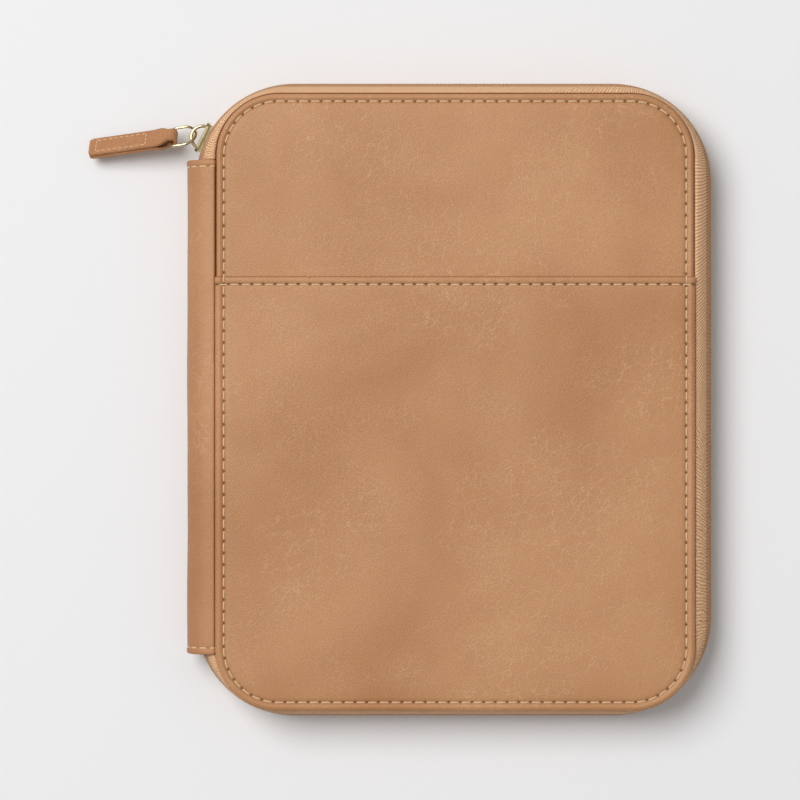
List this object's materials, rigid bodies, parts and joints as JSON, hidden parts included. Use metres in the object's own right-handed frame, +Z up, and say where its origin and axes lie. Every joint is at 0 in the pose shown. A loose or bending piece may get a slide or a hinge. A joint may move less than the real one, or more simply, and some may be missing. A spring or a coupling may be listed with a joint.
{
  "type": "portfolio case",
  "caption": "Zip-round leather portfolio case with padded covers, folding leather spine, outside pocket, inside pockets and a leather zip pull.",
  "frame": {"origin": "middle of the back cover's outer face, which the closed case lies on", "axes": "+X towards the zip's long side, away from the spine; +Y towards the top edge, where the zip's closed end is; +Z up through the closed case, from the back cover to the front cover"},
  "size_m": [0.2633, 0.2663, 0.027],
  "materials": {
    "leather": "natural vegetable-tanned, semi-matte",
    "thread": "waxed thread",
    "zip_tape": "twill tape",
    "zip_coil": "nylon coil",
    "lining": "suede-like cloth",
    "foam": "soft foam sheet",
    "board": "grey board",
    "slider_metal": "pale gold plate",
    "stop_metal": "satin",
    "elastic": "woven elastic"
  },
  "bodies": {
    "back_cover": {"back_cover_leather": "leather", "back_foam": "foam", "back_board": "board", "back_lining": "lining", "back_seam_thread": "thread", "back_zip_tape": "zip_tape", "back_zip_coil": "zip_coil", "back_top_stop": "stop_metal", "zip_bottom_stop": "stop_metal", "spine_flange_back": "lining", "pad_sleeve": "leather", "pad_sleeve_thread": "thread", "pen_loop": "elastic"},
    "spine_lower": {"spine_leather_lower": "leather", "spine_lining_lower": "lining", "spine_thread_lower": "thread"},
    "spine_middle": {"spine_leather_middle": "leather", "spine_lining_middle": "lining", "spine_thread_middle": "thread", "spine_board": "board"},
    "spine_upper": {"spine_leather_upper": "leather", "spine_lining_upper": "lining", "spine_thread_upper": "thread"},
    "front_cover": {"front_cover_leather": "leather", "front_foam": "foam", "front_board": "board", "front_lining": "lining", "front_seam_thread": "thread", "front_pocket_leather": "leather", "front_pocket_lining": "lining", "pocket_hem_thread": "thread", "front_zip_tape": "zip_tape", "front_zip_coil": "zip_coil", "front_top_stop": "stop_metal", "spine_flange_front": "lining", "document_pocket": "leather", "document_pocket_thread": "thread", "card_slot_upper": "leather", "card_slot_lower": "leather", "card_slot_thread": "thread"},
    "slider": {"slider_body": "slider_metal", "slider_bail": "slider_metal"},
    "ring": {"pull_ring": "slider_metal"},
    "pull_tab": {"pull_tab_leather": "leather", "pull_tab_thread": "thread"}
  },
  "joints": [
    {"name": "fold_back", "type": "hinge", "parent": "back_cover", "child": "spine_lower", "pos_m": [-0.1005, 0, 0.0046], "axis": [0, -1, 0], "range_deg": [0, 13.99]},
    {"name": "case_open", "type": "hinge", "parent": "spine_lower", "child": "spine_middle", "pos_m": [-0.1125, 0, 0.0076], "axis": [0, -1, 0], "range_deg": [0, 75.66]},
    {"name": "fold_middle", "type": "hinge", "parent": "spine_middle", "child": "spine_upper", "pos_m": [-0.1125, 0, 0.0184], "axis": [0, -1, 0], "range_deg": [0, 75.67]},
    {"name": "fold_front", "type": "hinge", "parent": "spine_upper", "child": "front_cover", "pos_m": [-0.1005, 0, 0.0214], "axis": [0, -1, 0], "range_deg": [0, 13.99]},
    {"name": "slider_travel", "type": "hinge", "parent": "back_cover", "child": "slider", "pos_m": [-0.0673, 0.0921, 0.013], "axis": [0, 0, -1], "range_deg": [0, 63.5]},
    {"name": "ring_swing", "type": "hinge", "parent": "slider", "child": "ring", "pos_m": [-0.11066, 0.11372, 0.013], "axis": [0.4462, 0.8949, 0], "range_deg": [-60, 30]},
    {"name": "tab_swing", "type": "hinge", "parent": "ring", "child": "pull_tab", "pos_m": [-0.11952, 0.11166, 0.01106], "axis": [-0.0386, -0.7178, 0.6952], "range_deg": [-90, 60]}
  ],
  "couplings": [
    {"joint": "fold_back", "follows": "case_open", "ratio": 0.18478},
    {"joint": "fold_middle", "follows": "case_open", "ratio": 1},
    {"joint": "fold_front", "follows": "case_open", "ratio": 0.18478},
    {"joint": "slider_travel", "follows": "case_open", "ratio": 0.839}
  ]
}
